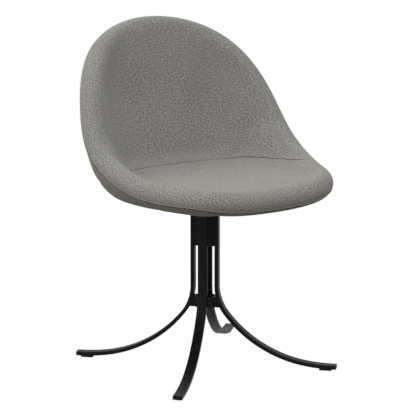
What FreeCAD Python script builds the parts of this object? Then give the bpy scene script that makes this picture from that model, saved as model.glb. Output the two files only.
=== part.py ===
import FreeCAD, Part
import math
import os
import Sketcher

# A swivel dining chair: an upholstered bucket seat on four bent flat bars.
# Millimetres, +Z up. The origin is on the swivel axis at floor level, and the sitter faces -Y.

doc = FreeCAD.newDocument("SwivelChair")
sizes = doc.addObject("Spreadsheet::Sheet", "Sizes")

drivingSizes = [
    # floor glides, under the end of each bar
    ("glideLength", 28),
    ("glideWidth", 15.5),
    ("glideHeight", 4),
    ("glideSetback", 11),
    ("glideScrewRadius", 2),
    ("glideHeadRadius", 3.6),
    ("glideHeadHeight", 2),
    # four flat bars, upright along the column and swept out to the feet
    ("barWidth", 22),
    ("barThickness", 9),
    ("barInnerFace", 23.7),
    ("barEdgeRound", 1.2),
    ("barTopDrop", 6),
    ("legReach", 308.5),
    ("kneeRadius", 105.9),
    ("kneeAngle", 37.8),
    ("shinAngle", 81.4),
    ("footRadius", 404),
    ("footFlat", 10.7),
    # upright tube with the bearings, and the ring lower down
    ("tubeRadius", 19),
    ("tubeWall", 2.5),
    ("tubeLength", 95),
    ("plugHeight", 4),
    ("ringRadius", 24),
    ("ringWall", 2.2),
    ("ringDrop", 24.6),
    ("ringHeight", 25),
    # swivel bearing
    ("spindleRadius", 12.5),
    ("runningFit", 0.05),
    ("lowerBushGap", 17),
    ("lowerBushHeight", 18),
    ("upperBushDepth", 20),
    ("flangeHeight", 3),
    ("thrustWasherHeight", 1.5),
    ("retainerThickness", 1.5),
    ("retainerDepth", 1),
    ("retainerLip", 2),
    ("retainerClearance", 0.5),
    ("spindleEnd", 4),
    ("sideClearance", 0.1),
    # socket, plate and fasteners under the seat
    ("bossRadius", 21),
    ("bossHeight", 38.1),
    ("plateSize", 190),
    ("plateThickness", 4),
    ("plateCorner", 20),
    ("boltSpacing", 150),
    ("boltRadius", 3),
    ("boltHeadRadius", 5.5),
    ("boltHeadHeight", 3.3),
    ("boltWasherRadius", 8),
    ("boltWasherHeight", 1.2),
    ("teeNutRadius", 9),
    ("teeNutFlange", 1.2),
    ("teeNutBarrel", 4.4),
    # upholstered bucket: a moulded shell in the middle of the padding
    ("seatHeight", 455),
    ("rollRadius", 26),
    ("shellThickness", 8),
    ("shellInset", 12),
    ("padGap", 0.4),
    ("plateGap", 0.3),
    ("creaseDepth", 122),
    ("creaseHalfWidth", 195),
    ("creaseCorner", 85),
    ("wingDepth", 10),
    ("backFillet", 56),
    ("coverOpening", 6),
    # worked out from the sizes above
    ("spineHeight", "=seatHeight - rollRadius"),
    ("plateBottom", "=spineHeight - shellThickness / 2 - plateGap - plateThickness"),
    ("flangeTop", "=plateBottom - bossHeight - sideClearance - thrustWasherHeight"),
    ("tubeTop", "=flangeTop - flangeHeight"),
    ("tubeBottom", "=tubeTop - tubeLength"),
    ("barTop", "=tubeTop - barTopDrop"),
]
for row, (name, value) in enumerate(drivingSizes, start=1):
    sizes.set("A%d" % row, name)
    sizes.set("B%d" % row, str(value))
    sizes.setAlias("B%d" % row, name)
doc.recompute()


def size(name):
    return float(sizes.get(name))


def bind(item, prop, formula):
    item.setExpression(prop, formula)


def cylinder(name, radius, bottom, height, x=0.0, y=0.0):
    # radius and height are formulas in the sheet's names, bottom is a height in millimetres
    item = doc.addObject("Part::Cylinder", name)
    bind(item, "Radius", radius)
    bind(item, "Height", height)
    item.Placement.Base = FreeCAD.Vector(x, y, bottom)
    return item


def tube(name, outer, inner, bottom, height):
    # a plain turned ring: two circles padded upwards
    body = doc.addObject("PartDesign::Body", name)
    sketch = body.newObject("Sketcher::SketchObject", name + "Profile")
    floor = [plane for plane in body.Origin.OriginFeatures if plane.Role == "XY_Plane"][0]
    sketch.AttachmentSupport = [(floor, "")]
    sketch.MapMode = "FlatFace"
    centre = FreeCAD.Vector(0, 0, 0)
    up = FreeCAD.Vector(0, 0, 1)
    for number, formula in enumerate((outer, inner)):
        circle = sketch.addGeometry(Part.Circle(centre, up, 20.0 - 5.0 * number), False)
        sketch.addConstraint(Sketcher.Constraint("Coincident", circle, 3, -1, 1))
        radius = sketch.addConstraint(Sketcher.Constraint("Radius", circle, 20.0 - 5.0 * number))
        bind(sketch, "Constraints[%d]" % radius, formula)
    pad = body.newObject("PartDesign::Pad", name + "Pad")
    pad.Profile = sketch
    bind(pad, "Length", height)
    body.Placement.Base = FreeCAD.Vector(0, 0, bottom)
    return body


def onAxis(angle, radius, height):
    return FreeCAD.Vector(radius * math.cos(angle), radius * math.sin(angle), height)


parts = []


def keep(item, name):
    item.Label = name
    parts.append(item)
    return item


# The bars stand on the diagonals, so each foot points to a corner of the seat.
corners = {
    "rear_right": math.radians(45),
    "rear_left": math.radians(135),
    "front_left": math.radians(225),
    "front_right": math.radians(315),
}


def barCentreLine():
    # bends of a bar in its own upright plane, from the column down to the foot
    radius = size("barInnerFace") + size("barThickness") / 2
    knee = math.radians(size("kneeAngle"))
    shin = math.radians(size("shinAngle"))
    # the long bend takes up the reach that the other two and the flat end leave
    spread = size("legReach") - size("footFlat") - radius
    spread = spread - size("kneeRadius") * (1 - math.cos(knee)) - size("footRadius") * math.cos(shin)
    turns = (
        (size("kneeRadius"), 0.0, knee),
        (spread / (math.cos(knee) - math.cos(shin)), knee, shin),
        (size("footRadius"), shin, math.pi / 2),
    )
    drop = sum(bend * (math.sin(last) - math.sin(first)) for bend, first, last in turns)
    height = size("glideHeight") + size("barThickness") / 2 + drop
    return radius, height, turns


def barSide(offset):
    # one long side of a bar, offset from its centre line away from the bends' centres
    radius, height, turns = barCentreLine()
    edges = []
    start = FreeCAD.Vector(radius - offset, size("barTop"), 0)
    corner = FreeCAD.Vector(radius - offset, height, 0)
    edges.append(Part.LineSegment(start, corner))
    centre = FreeCAD.Vector(radius, height, 0)
    for bend, first, last in turns:
        centre = centre + FreeCAD.Vector(bend * math.cos(first), bend * math.sin(first), 0)
        reach = bend + offset
        places = []
        for angle in (first, (first + last) / 2, last):
            places.append(centre - FreeCAD.Vector(reach * math.cos(angle), reach * math.sin(angle), 0))
        edges.append(Part.Arc(*places))
        centre = centre - FreeCAD.Vector(bend * math.cos(last), bend * math.sin(last), 0)
        corner = places[-1]
    end = FreeCAD.Vector(size("legReach"), corner.y, 0)
    edges.append(Part.LineSegment(corner, end))
    return edges, start, end


def leg(corner):
    body = doc.addObject("PartDesign::Body", "Leg" + corner)
    upright = [plane for plane in body.Origin.OriginFeatures if plane.Role == "XZ_Plane"][0]
    floor = [plane for plane in body.Origin.OriginFeatures if plane.Role == "XY_Plane"][0]
    outline = body.newObject("Sketcher::SketchObject", "LegOutline" + corner)
    outline.AttachmentSupport = [(upright, "")]
    outline.MapMode = "FlatFace"
    half = size("barThickness") / 2
    underEdges, underTop, underEnd = barSide(half)
    overEdges, overTop, overEnd = barSide(-half)
    outline.addGeometry(underEdges + overEdges, False)
    outline.addGeometry([Part.LineSegment(underTop, overTop), Part.LineSegment(underEnd, overEnd)], False)
    pad = body.newObject("PartDesign::Pad", "LegPad" + corner)
    pad.Profile = outline
    pad.SideType = "Symmetric"
    bind(pad, "Length", "Sizes.barWidth")
    screwHole = body.newObject("Sketcher::SketchObject", "LegHole" + corner)
    screwHole.AttachmentSupport = [(floor, "")]
    screwHole.MapMode = "FlatFace"
    centre = FreeCAD.Vector(glideCentre(), 0, 0)
    up = FreeCAD.Vector(0, 0, 1)
    circle = screwHole.addGeometry(Part.Circle(centre, up, size("glideScrewRadius")), False)
    radius = screwHole.addConstraint(Sketcher.Constraint("Radius", circle, size("glideScrewRadius")))
    bind(screwHole, "Constraints[%d]" % radius, "Sizes.glideScrewRadius")
    hole = body.newObject("PartDesign::Pocket", "LegPocket" + corner)
    hole.Profile = screwHole
    hole.Reversed = True
    bind(hole, "Length", "Sizes.glideHeight + Sizes.barThickness / 2")
    doc.recompute()
    side = size("barWidth") / 2
    longEdges = []
    for number, edge in enumerate(hole.Shape.Edges, start=1):
        box = edge.BoundBox
        if box.YLength < 0.01 and abs(abs(box.YMin) - side) < 0.01:
            longEdges.append("Edge%d" % number)
    rounding = body.newObject("PartDesign::Fillet", "LegRounding" + corner)
    rounding.Base = (hole, longEdges)
    bind(rounding, "Radius", "Sizes.barEdgeRound")
    body.Placement.Rotation = FreeCAD.Rotation(FreeCAD.Vector(0, 0, 1), math.degrees(corners[corner]))
    return body


def glideCentre():
    return size("legReach") - size("glideSetback") - size("glideLength") / 2


def glide(corner):
    # a moulded pad with a countersunk place for its screw
    name = "Glide" + corner
    block = doc.addObject("Part::Box", name + "Block")
    bind(block, "Length", "Sizes.glideLength")
    bind(block, "Width", "Sizes.glideWidth")
    bind(block, "Height", "Sizes.glideHeight")
    block.Placement.Base = FreeCAD.Vector(glideCentre() - size("glideLength") / 2, -size("glideWidth") / 2, 0)
    hole = cylinder(name + "Hole", "Sizes.glideScrewRadius", 0, "Sizes.glideHeight", glideCentre())
    sink = cylinder(name + "Sink", "Sizes.glideHeadRadius + Sizes.runningFit", 0, "Sizes.glideHeadHeight",
                    glideCentre())
    bore = doc.addObject("Part::Fuse", name + "Bore")
    bore.Base = hole
    bore.Tool = sink
    cut = doc.addObject("Part::Cut", name)
    cut.Base = block
    cut.Tool = bore
    cut.Placement.Rotation = FreeCAD.Rotation(FreeCAD.Vector(0, 0, 1), math.degrees(corners[corner]))
    return cut


def group(name, items):
    compound = doc.addObject("Part::Compound", name)
    compound.Links = items
    return compound


for corner in corners:
    keep(leg(corner), "leg_" + corner)
for corner in corners:
    keep(glide(corner), "glide_" + corner)

screws = []
for corner, angle in corners.items():
    place = onAxis(angle, glideCentre(), 0)
    shank = cylinder("GlideShank" + corner, "Sizes.glideScrewRadius", size("glideHeadHeight"),
                     "Sizes.glideHeight + Sizes.barThickness / 2 - Sizes.glideHeadHeight", place.x, place.y)
    head = cylinder("GlideHead" + corner, "Sizes.glideHeadRadius", size("glideHeadHeight") / 2,
                    "Sizes.glideHeadHeight / 2", place.x, place.y)
    screw = doc.addObject("Part::Fuse", "GlideScrew" + corner)
    screw.Base = shank
    screw.Tool = head
    screws.append(screw)
keep(group("GlideScrews", screws), "glide_screws")

# The upright tube and the ring below it, each held to the bars by four webs as wide as the bars.
keep(tube("ColumnTube", "Sizes.tubeRadius", "Sizes.tubeRadius - Sizes.tubeWall", size("tubeBottom"),
          "Sizes.tubeTop - Sizes.tubeBottom"), "column_tube")
ringBottom = barCentreLine()[1] - size("ringDrop") - size("ringHeight")
keep(tube("LowerRing", "Sizes.ringRadius", "Sizes.ringRadius - Sizes.ringWall", ringBottom,
          "Sizes.ringHeight"), "lower_ring")


def upperSpacer(corner, angle):
    name = "UpperSpacer" + corner
    block = doc.addObject("Part::Box", name + "Block")
    bind(block, "Length", "Sizes.barInnerFace")
    bind(block, "Width", "Sizes.barWidth")
    bind(block, "Height", "Sizes.barTop - Sizes.tubeBottom")
    block.Placement.Base = FreeCAD.Vector(0, -size("barWidth") / 2, size("tubeBottom"))
    core = cylinder(name + "Core", "Sizes.tubeRadius", size("tubeBottom"), "Sizes.barTop - Sizes.tubeBottom")
    web = doc.addObject("Part::Cut", name)
    web.Base = block
    web.Tool = core
    web.Placement.Rotation = FreeCAD.Rotation(FreeCAD.Vector(0, 0, 1), math.degrees(angle))
    return web


def lowerSpacer(corner, angle):
    # fills the wedge between the ring and the spreading bar
    name = "LowerSpacer" + corner
    centre, height, turns = barCentreLine()
    bend = turns[0][0]
    reach = bend + size("barThickness") / 2
    low = ringBottom
    high = low + size("ringHeight")
    outer = []
    for level in (low, (low + high) / 2, high):
        outer.append(FreeCAD.Vector(centre + bend - math.sqrt(reach ** 2 - (height - level) ** 2), 0, level))
    edges = [
        Part.makeLine(FreeCAD.Vector(0, 0, low), outer[0]),
        Part.Arc(*outer).toShape(),
        Part.makeLine(outer[2], FreeCAD.Vector(0, 0, high)),
        Part.makeLine(FreeCAD.Vector(0, 0, high), FreeCAD.Vector(0, 0, low)),
    ]
    web = Part.Face(Part.Wire(edges))
    web.translate(FreeCAD.Vector(0, -size("barWidth") / 2, 0))
    solid = web.extrude(FreeCAD.Vector(0, size("barWidth"), 0))
    solid = solid.cut(Part.makeCylinder(size("ringRadius"), size("ringHeight"), FreeCAD.Vector(0, 0, low)))
    item = doc.addObject("Part::Feature", name)
    item.Shape = solid
    item.Placement.Rotation = FreeCAD.Rotation(FreeCAD.Vector(0, 0, 1), math.degrees(angle))
    return item


keep(group("UpperSpacers", [upperSpacer(name, angle) for name, angle in corners.items()]), "upper_spacers")
keep(group("LowerSpacers", [lowerSpacer(name, angle) for name, angle in corners.items()]), "lower_spacers")

# Swivel bearing: two plain bushes in the tube, a thrust washer on top and a retainer below.
tubeBore = "Sizes.tubeRadius - Sizes.tubeWall"
bushBore = "Sizes.spindleRadius + Sizes.runningFit"
lowerBushBottom = size("tubeBottom") + size("lowerBushGap")
keep(tube("LowerBush", tubeBore, bushBore, lowerBushBottom, "Sizes.lowerBushHeight"), "lower_bush")
sleeve = tube("UpperBushSleeve", tubeBore, bushBore, size("tubeTop") - size("upperBushDepth"),
              "Sizes.upperBushDepth")
flange = tube("UpperBushFlange", "Sizes.tubeRadius", bushBore, size("tubeTop"), "Sizes.flangeHeight")
upperBush = doc.addObject("Part::Fuse", "UpperBush")
upperBush.Base = sleeve
upperBush.Tool = flange
keep(upperBush, "upper_bush")
keep(tube("ThrustWasher", "Sizes.tubeRadius", bushBore, size("flangeTop"),
          "Sizes.thrustWasherHeight"), "thrust_washer")
keep(cylinder("TubePlug", tubeBore, size("tubeBottom"), "Sizes.plugHeight"), "tube_plug")

retainerTop = lowerBushBottom - size("sideClearance")
washerUnderside = retainerTop - size("retainerThickness")
grooveRadius = "Sizes.spindleRadius - Sizes.retainerDepth"
keep(tube("RetainingWasher", tubeBore + " - Sizes.retainerClearance", "Sizes.spindleRadius",
          washerUnderside, "Sizes.retainerThickness"), "retaining_washer")
retainingBottom = washerUnderside - size("retainerThickness")
keep(tube("RetainingRing", "Sizes.spindleRadius + Sizes.retainerLip", grooveRadius, retainingBottom,
          "Sizes.retainerThickness"), "retaining_ring")

# Heights under the seat; the middle of the bucket's thickness is at spineHeight.
spineHeight = size("spineHeight")
shellUnderside = spineHeight - size("shellThickness") / 2
plateBottom = size("plateBottom")
plateTop = plateBottom + size("plateThickness")
bossBottom = plateBottom - size("bossHeight")

spindleBottom = retainingBottom - size("spindleEnd")
spindleTop = plateBottom - size("plateThickness")
shaft = cylinder("SpindleShaft", "Sizes.spindleRadius", spindleBottom, "%f" % (spindleTop - spindleBottom))
groove = tube("SpindleGroove", "Sizes.tubeRadius", grooveRadius, retainingBottom,
              "Sizes.retainerThickness")
spindle = doc.addObject("Part::Cut", "Spindle")
spindle.Base = shaft
spindle.Tool = groove
keep(spindle, "spindle")
keep(tube("PlateBoss", "Sizes.bossRadius", "Sizes.spindleRadius", bossBottom,
          "Sizes.bossHeight"), "plate_boss")

boltPlaces = []
for alongX in (-0.5, 0.5):
    for alongY in (-0.5, 0.5):
        boltPlaces.append((alongX * size("boltSpacing"), alongY * size("boltSpacing")))


def seatPlate():
    body = doc.addObject("PartDesign::Body", "SeatPlate")
    floor = [plane for plane in body.Origin.OriginFeatures if plane.Role == "XY_Plane"][0]
    outline = body.newObject("Sketcher::SketchObject", "PlateOutline")
    outline.AttachmentSupport = [(floor, "")]
    outline.MapMode = "FlatFace"
    half = size("plateSize") / 2
    places = [FreeCAD.Vector(x, y, 0) for x, y in ((-half, -half), (half, -half), (half, half), (-half, half))]
    for first, second in zip(places, places[1:] + places[:1]):
        outline.addGeometry(Part.LineSegment(first, second), False)
    pad = body.newObject("PartDesign::Pad", "PlatePad")
    pad.Profile = outline
    bind(pad, "Length", "Sizes.plateThickness")
    holes = body.newObject("Sketcher::SketchObject", "PlateHoles")
    holes.AttachmentSupport = [(floor, "")]
    holes.MapMode = "FlatFace"
    for x, y in boltPlaces:
        centre = FreeCAD.Vector(x, y, 0)
        circle = holes.addGeometry(Part.Circle(centre, FreeCAD.Vector(0, 0, 1), size("boltRadius")), False)
        radius = holes.addConstraint(Sketcher.Constraint("Radius", circle, size("boltRadius")))
        bind(holes, "Constraints[%d]" % radius, "Sizes.boltRadius")
    pocket = body.newObject("PartDesign::Pocket", "PlatePocket")
    pocket.Profile = holes
    pocket.Reversed = True
    bind(pocket, "Length", "Sizes.plateThickness")
    doc.recompute()
    upright = []
    for number, edge in enumerate(pocket.Shape.Edges, start=1):
        box = edge.BoundBox
        if box.XLength < 0.01 and box.YLength < 0.01 and abs(abs(box.XMin) - half) < 0.01:
            upright.append("Edge%d" % number)
    rounding = body.newObject("PartDesign::Fillet", "PlateCorners")
    rounding.Base = (pocket, upright)
    bind(rounding, "Radius", "Sizes.plateCorner")
    body.Placement.Base = FreeCAD.Vector(0, 0, plateBottom)
    return body


keep(seatPlate(), "seat_plate")

bolts = []
washers = []
teeNuts = []
washerBottom = plateBottom - size("boltWasherHeight")
shellTop = spineHeight + size("shellThickness") / 2
nutTop = shellTop - size("plateGap") / 2
for number, (x, y) in enumerate(boltPlaces):
    tag = str(number)
    shank = cylinder("BoltShank" + tag, "Sizes.boltRadius", washerBottom, "%f" % (nutTop - washerBottom), x, y)
    head = cylinder("BoltHead" + tag, "Sizes.boltHeadRadius", washerBottom - size("boltHeadHeight"),
                    "Sizes.boltHeadHeight", x, y)
    bolt = doc.addObject("Part::Fuse", "PlateBolt" + tag)
    bolt.Base = shank
    bolt.Tool = head
    bolts.append(bolt)
    washer = doc.addObject("Part::Cut", "BoltWasher" + tag)
    washer.Base = cylinder("WasherDisc" + tag, "Sizes.boltWasherRadius", washerBottom,
                           "Sizes.boltWasherHeight", x, y)
    washer.Tool = cylinder("WasherBore" + tag, "Sizes.boltRadius", washerBottom, "Sizes.boltWasherHeight", x, y)
    washers.append(washer)
    nutBody = doc.addObject("Part::Fuse", "TeeNutBody" + tag)
    nutBody.Base = cylinder("TeeNutBarrel" + tag, "Sizes.teeNutBarrel", shellUnderside,
                            "%f" % (nutTop - shellUnderside), x, y)
    nutBody.Tool = cylinder("TeeNutFlange" + tag, "Sizes.teeNutRadius", nutTop - size("teeNutFlange"),
                            "Sizes.teeNutFlange", x, y)
    nut = doc.addObject("Part::Cut", "TeeNut" + tag)
    nut.Base = nutBody
    nut.Tool = cylinder("TeeNutBore" + tag, "Sizes.boltRadius", shellUnderside, "Sizes.shellThickness", x, y)
    teeNuts.append(nut)
keep(group("PlateBolts", bolts), "plate_bolts")
keep(group("BoltWashers", washers), "bolt_washers")
keep(group("TeeNuts", teeNuts), "tee_nuts")

# The bucket. Its rim is one smooth closed line, given for the right half from the middle of the
# front edge to the top of the back by the corners of a B-spline: half width, depth, and height
# above the middle of the seat's thickness.
rimCorners = (
    (0, -250, 0),
    (102, -250, 0),
    (168, -254, 21),
    (234, -89, 11),
    (253, 64, 71),
    (236, 114, 180),
    (180, 196, 298),
    (66, 240, 333),
    (0, 240, 333),
)
# Sections of the bucket are cut by planes that fan out from a line above the sitter's knees.
fanDepth = -300.0
fanHeight = spineHeight + 471.0
# Side walls: radius of the bend between floor and wall, steepest lean, least height of wall.
frontBend = 75.0
backBend = 150.0
steepest = math.radians(60)
leastWall = 18.0
shallowest = 3.0
# Stations along the rim, from 0 at the front edge to 1 at the top of the back.
stations = (0.08, 0.15, 0.22, 0.31, 0.39, 0.46, 0.52, 0.58, 0.66, 0.75, 0.83, 0.9, 0.95)
# The front and top edges roll over in three steps, as angles round the roll.
rollSteps = (28, 52, 74)
rollNarrowing = 8.0
longestCap = 2.8

rimCurve = Part.BSplineCurve()
poles = [FreeCAD.Vector(x, y, spineHeight + z) for x, y, z in rimCorners]
spans = len(poles) - 3
rimCurve.buildFromPolesMultsKnots(poles, [4] + [1] * (spans - 1) + [4],
                                  [step / spans for step in range(spans + 1)], False, 3)


# On the centre line the floor turns up into the back by a fillet, and the back runs to the rim.
top = poles[-1]
filletRadius = size("backFillet")
filletCentre = (size("creaseDepth"), spineHeight + filletRadius)
toTop = (top.y - filletCentre[0], top.z - filletCentre[1])
lean = math.atan2(toTop[1], toTop[0]) + math.asin(filletRadius / math.hypot(*toTop))


def spineRadius(angle):
    # distance from the fan's axis to the middle of the bucket's thickness, on its centre line
    sine = math.sin(angle)
    cosine = math.cos(angle)
    toFloor = (fanHeight - spineHeight) / -sine
    if fanDepth + toFloor * cosine <= filletCentre[0]:
        return toFloor
    across = (fanDepth - top.y) * math.sin(lean) - (fanHeight - top.z) * math.cos(lean)
    toBack = -across / (cosine * math.sin(lean) - sine * math.cos(lean))
    depth = fanDepth + toBack * cosine
    height = fanHeight + toBack * sine
    if (depth - filletCentre[0]) * math.cos(lean) + (height - filletCentre[1]) * math.sin(lean) >= 0:
        return toBack
    depth = filletCentre[0] - fanDepth
    height = filletCentre[1] - fanHeight
    nearest = depth * cosine + height * sine
    return nearest + math.sqrt(filletRadius ** 2 - depth ** 2 - height ** 2 + nearest ** 2)


class Section:
    # one cut through the bucket: floor, bend, wall and rim on each side of the centre line
    def __init__(self, halfWidth, rimDepth, rimHeight, roll, bend, cap=1.0, centreDepth=None):
        self.angle = math.atan2(rimHeight - fanHeight, rimDepth - fanDepth)
        self.rimRadius = math.hypot(rimHeight - fanHeight, rimDepth - fanDepth)
        self.roll = roll
        self.cap = cap
        bend = min(bend, 0.8 * halfWidth)
        self.bend = bend
        depth = spineRadius(self.angle) - self.rimRadius if centreDepth is None else centreDepth
        self.depth = max(depth, shallowest)
        self.floor = self.rimRadius + self.depth
        slack = math.hypot(bend, leastWall)
        ratio = (bend - self.depth) / slack
        lean = math.acos(max(-1.0, min(1.0, ratio))) - math.atan2(leastWall, bend)
        self.lean = min(lean, steepest)
        self.wall = (self.depth - bend * (1 - math.cos(self.lean))) / math.sin(self.lean)
        self.flat = halfWidth - bend * math.sin(self.lean) - self.wall * math.cos(self.lean)
        self.halfWidth = halfWidth
        step = math.radians(0.5)
        change = (spineRadius(self.angle + step) - spineRadius(self.angle - step)) / (2 * step)
        self.stretch = math.hypot(1.0, change / self.floor) if centreDepth is None else 1.0

    def place(self, across, up):
        reach = self.floor - up
        return FreeCAD.Vector(across, fanDepth + reach * math.cos(self.angle),
                              fanHeight + reach * math.sin(self.angle))

    def chain(self, offset, beyond, side):
        # points of one half: floor end, mid bend, wall foot, wall end
        radius = self.bend - offset
        sine = math.sin(self.lean)
        cosine = math.cos(self.lean)
        middle = self.lean / 2
        foot = (self.flat + radius * sine, self.bend - radius * cosine)
        length = self.wall + beyond
        # the planes cut the floor aslant, so its thickness is drawn out to stay true
        slant = offset * (self.stretch - 1)
        rise = self.bend - radius * math.cos(middle) + slant * math.cos(middle) ** 2
        return [
            self.place(side * self.flat, offset + slant),
            self.place(side * (self.flat + radius * math.sin(middle)), rise),
            self.place(side * foot[0], foot[1] + slant * cosine ** 2),
            self.place(side * (foot[0] + length * cosine), foot[1] + length * sine),
        ]

    def outline(self, near, far, nearBeyond, farBeyond, rounded):
        # closed wire between two offsets from the middle of the thickness
        edges = []
        ends = {}
        for side in (-1, 1):
            for offset, beyond in ((near, nearBeyond), (far, farBeyond)):
                points = self.chain(offset, beyond, side)
                edges.append(Part.Arc(points[0], points[1], points[2]).toShape())
                edges.append(Part.makeLine(points[2], points[3]))
                ends[side, offset] = points
            if rounded:
                turn = math.radians(45)
                middle = self.roll * math.cos(turn)
                direction = 1 if far > near else -1
                inner = self.chain(direction * middle, middle * self.cap, side)[3]
                edges.append(Part.Arc(ends[side, near][3], inner, ends[side, far][3]).toShape())
            else:
                edges.append(Part.makeLine(ends[side, near][3], ends[side, far][3]))
        for offset in (near, far):
            edges.append(Part.makeLine(ends[-1, offset][0], ends[1, offset][0]))
        return Part.Wire(Part.__sortEdges__(edges))


def bendAt(station):
    # tight bends beside the seat, wide ones across the back
    share = min(1.0, max(0.0, (station - 0.3) / 0.4))
    share = share * share * (3 - 2 * share)
    return frontBend + (backBend - frontBend) * share


def fullSections():
    result = []
    for station in stations:
        rim = rimCurve.value(station)
        section = Section(rim.x, rim.y, rim.z, size("rollRadius"), bendAt(station))
        # a plane that cuts the rim aslant meets a longer roll
        along = FreeCAD.Vector(rimCurve.tangent(station)[0])
        outward = section.chain(0, section.wall, 1)[3] - section.chain(0, 0, 1)[3]
        section.cap = min(longestCap, 1 / math.sin(along.getAngle(outward)))
        result.append(section)
    return result


def rolledSections(section, edge, forward):
    # the sections past the front or top edge, each thinner and narrower than the last
    result = []
    for step in rollSteps:
        turn = math.radians(step)
        ahead = size("rollRadius") * math.sin(turn)
        roll = size("rollRadius") * math.cos(turn)
        angle = math.atan2(edge.z - fanHeight, edge.y - fanDepth)
        depth = edge.y + forward * ahead * -math.sin(angle)
        height = edge.z + forward * ahead * math.cos(angle)
        width = section.halfWidth - rollNarrowing * (1 - math.cos(turn)) * 2
        cap = section.cap * math.cos(0.6 * turn)
        result.append(Section(width, depth, height, roll, section.bend, cap, shallowest))
    return result


sections = fullSections()
frontRoll = rolledSections(sections[0], poles[0], -1)
topRoll = rolledSections(sections[-1], poles[-1], 1)
allSections = frontRoll[::-1] + sections + topRoll


def loft(wires):
    solid = Part.makeLoft(wires, True, True)
    if solid.Volume < 0:
        solid.reverse()
    return solid


half = size("shellThickness") / 2
inset = -size("shellInset")
shellWires = [one.outline(-half, half, inset, inset, False) for one in sections[1:-1]]
clear = half + size("padGap")
clearance = inset + size("padGap")
hollowWires = [one.outline(-clear, clear, clearance, clearance, False) for one in sections[1:-1]]
seam = size("padGap") / 2


def padWires(direction):
    wires = []
    for one in allSections:
        tip = math.sqrt(one.roll ** 2 - seam ** 2) * one.cap
        wires.append(one.outline(direction * seam, direction * one.roll, tip, 0.0, True))
    return wires


shell = loft(shellWires)
hollow = loft(hollowWires)
frontPad = loft(padWires(1)).cut(hollow)
rearPad = loft(padWires(-1)).cut(hollow)


def seatZone():
    # plan of the seat panel: the sewn crease round its back and sides, open to the front
    back = size("creaseDepth")
    side = size("creaseHalfWidth")
    corner = size("creaseCorner")
    turn = corner * (1 - math.cos(math.radians(45)))
    edges = []
    front = poles[0].y * 2
    wingDepth = size("wingDepth")
    for mirror in (-1, 1):
        first = FreeCAD.Vector(mirror * (side - corner), back, fanHeight)
        middle = FreeCAD.Vector(mirror * (side - turn), back - turn, fanHeight)
        last = FreeCAD.Vector(mirror * side, back - corner, fanHeight)
        wing = FreeCAD.Vector(mirror * side, -wingDepth, fanHeight)
        outside = FreeCAD.Vector(mirror * side * 2, -wingDepth - side, fanHeight)
        ahead = FreeCAD.Vector(mirror * side * 2, front, fanHeight)
        edges.append(Part.Arc(first, middle, last).toShape())
        edges.append(Part.makeLine(last, wing))
        edges.append(Part.makeLine(wing, outside))
        edges.append(Part.makeLine(outside, ahead))
    edges.append(Part.makeLine(FreeCAD.Vector(corner - side, back, fanHeight),
                               FreeCAD.Vector(side - corner, back, fanHeight)))
    edges.append(Part.makeLine(FreeCAD.Vector(-side * 2, front, fanHeight),
                               FreeCAD.Vector(side * 2, front, fanHeight)))
    face = Part.Face(Part.Wire(Part.__sortEdges__(edges)))
    return face.extrude(FreeCAD.Vector(0, 0, -fanHeight))


zone = seatZone()
seatPad = frontPad.common(zone)
backPad = frontPad.cut(zone)
for x, y in boltPlaces:
    barrel = Part.makeCylinder(size("teeNutBarrel"), size("rollRadius"), FreeCAD.Vector(x, y, plateTop))
    recess = Part.makeCylinder(size("teeNutRadius") + size("padGap"), size("rollRadius"),
                               FreeCAD.Vector(x, y, nutTop - size("teeNutFlange")))
    shell = shell.cut(barrel).cut(recess)
opening = size("plateSize") + 2 * size("coverOpening")
rearPad = rearPad.cut(Part.makeBox(opening, opening, spineHeight,
                                   FreeCAD.Vector(-opening / 2, -opening / 2, 0)))


def upholstery(name, solid):
    item = doc.addObject("Part::Feature", name.title().replace("_", ""))
    item.Shape = solid
    keep(item, name)


upholstery("seat_shell", shell)
upholstery("seat_cushion", seatPad)
upholstery("back_cushion", backPad)
upholstery("rear_cover", rearPad)

doc.recompute()
for item in doc.Objects:
    if "Invalid" in item.State or "Error" in item.State:
        raise RuntimeError("%s did not compute: %s" % (item.Name, item.State))
for item in parts:
    if item.Shape.isNull() or not item.Shape.isValid():
        raise RuntimeError("%s has no sound shape" % item.Label)
os.makedirs("parts", exist_ok=True)
for item in parts:
    print("%-18s solids %d volume %.0f" % (item.Label, len(item.Shape.Solids), item.Shape.Volume))
    item.Shape.exportStep("parts/%s.step" % item.Label)
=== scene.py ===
import math

import bpy
import numpy as np
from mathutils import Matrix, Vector


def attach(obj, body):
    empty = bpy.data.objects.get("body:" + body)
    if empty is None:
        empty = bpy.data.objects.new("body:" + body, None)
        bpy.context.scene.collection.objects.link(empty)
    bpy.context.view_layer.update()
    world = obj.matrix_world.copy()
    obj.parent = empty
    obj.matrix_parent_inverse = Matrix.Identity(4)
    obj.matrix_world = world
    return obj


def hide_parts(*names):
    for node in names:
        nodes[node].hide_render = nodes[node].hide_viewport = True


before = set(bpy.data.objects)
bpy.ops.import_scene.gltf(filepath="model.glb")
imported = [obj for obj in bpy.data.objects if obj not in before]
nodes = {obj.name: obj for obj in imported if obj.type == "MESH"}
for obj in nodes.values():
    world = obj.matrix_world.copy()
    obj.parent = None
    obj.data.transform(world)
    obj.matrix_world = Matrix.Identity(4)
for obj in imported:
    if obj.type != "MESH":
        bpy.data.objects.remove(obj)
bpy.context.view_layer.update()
scene = bpy.context.scene
scene.view_settings.view_transform = "Standard"
print("frame loaded,", len(nodes), "CAD nodes")


camera = {
    "heading": math.radians(33.63),  # from +Y towards +X
    "distance": 4.66,                # from the swivel axis, along the floor
    "height": 1.3646,
    "pitch": math.radians(12.05),    # below the horizon
    "lens": 179.5,                   # millimetres, on a sensor of this width
    "sensor": 36,
    "shift": 0.0068,
}


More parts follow.
